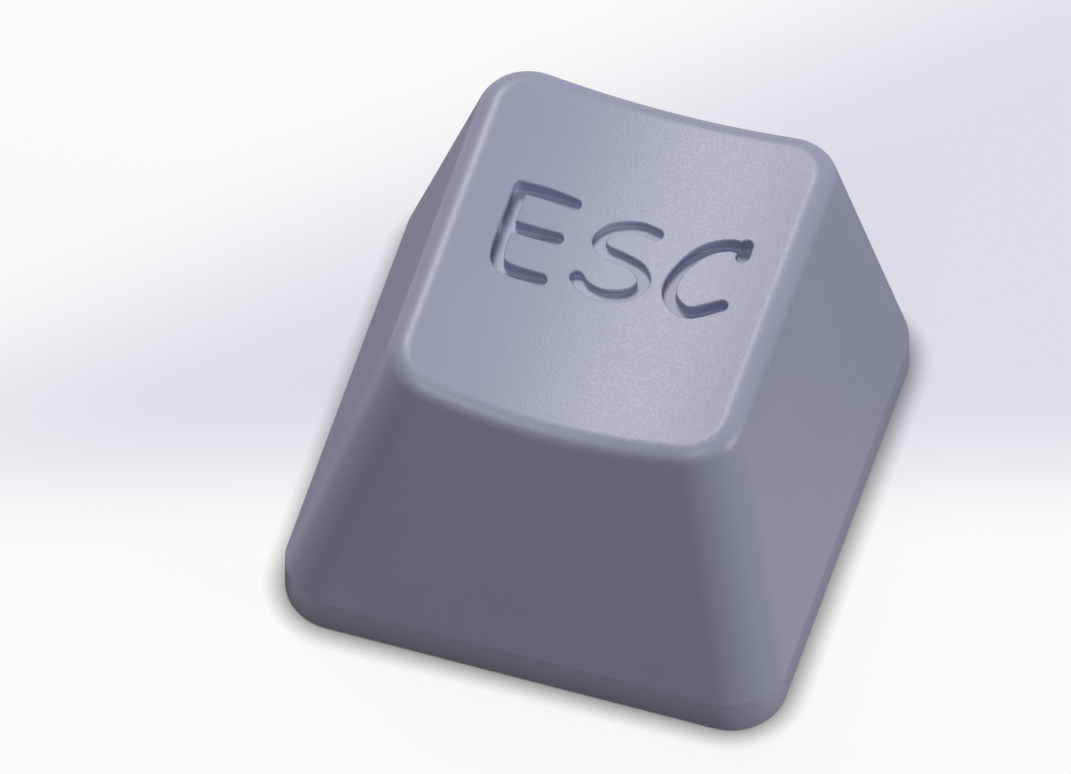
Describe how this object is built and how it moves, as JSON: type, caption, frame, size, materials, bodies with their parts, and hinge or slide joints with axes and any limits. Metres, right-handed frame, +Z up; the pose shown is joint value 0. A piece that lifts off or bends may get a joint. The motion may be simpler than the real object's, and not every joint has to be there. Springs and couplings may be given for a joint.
{
  "type": "keycap",
  "caption": "Sculpted one-unit keycap with a dished top, leaning walls, a rolled top edge and a cross socket on a ribbed post.",
  "frame": {"origin": "middle of the rim's plane, on the axis of the switch stem", "axes": "+X to the user's right, +Y away from the user, +Z up out of the dish"},
  "size_m": [0.018, 0.018, 0.0106],
  "materials": {
    "keycap_plastic": "fine moulded grain, satin"
  },
  "bodies": {
    "root": {"keycap": "keycap_plastic"}
  },
  "joints": []
}
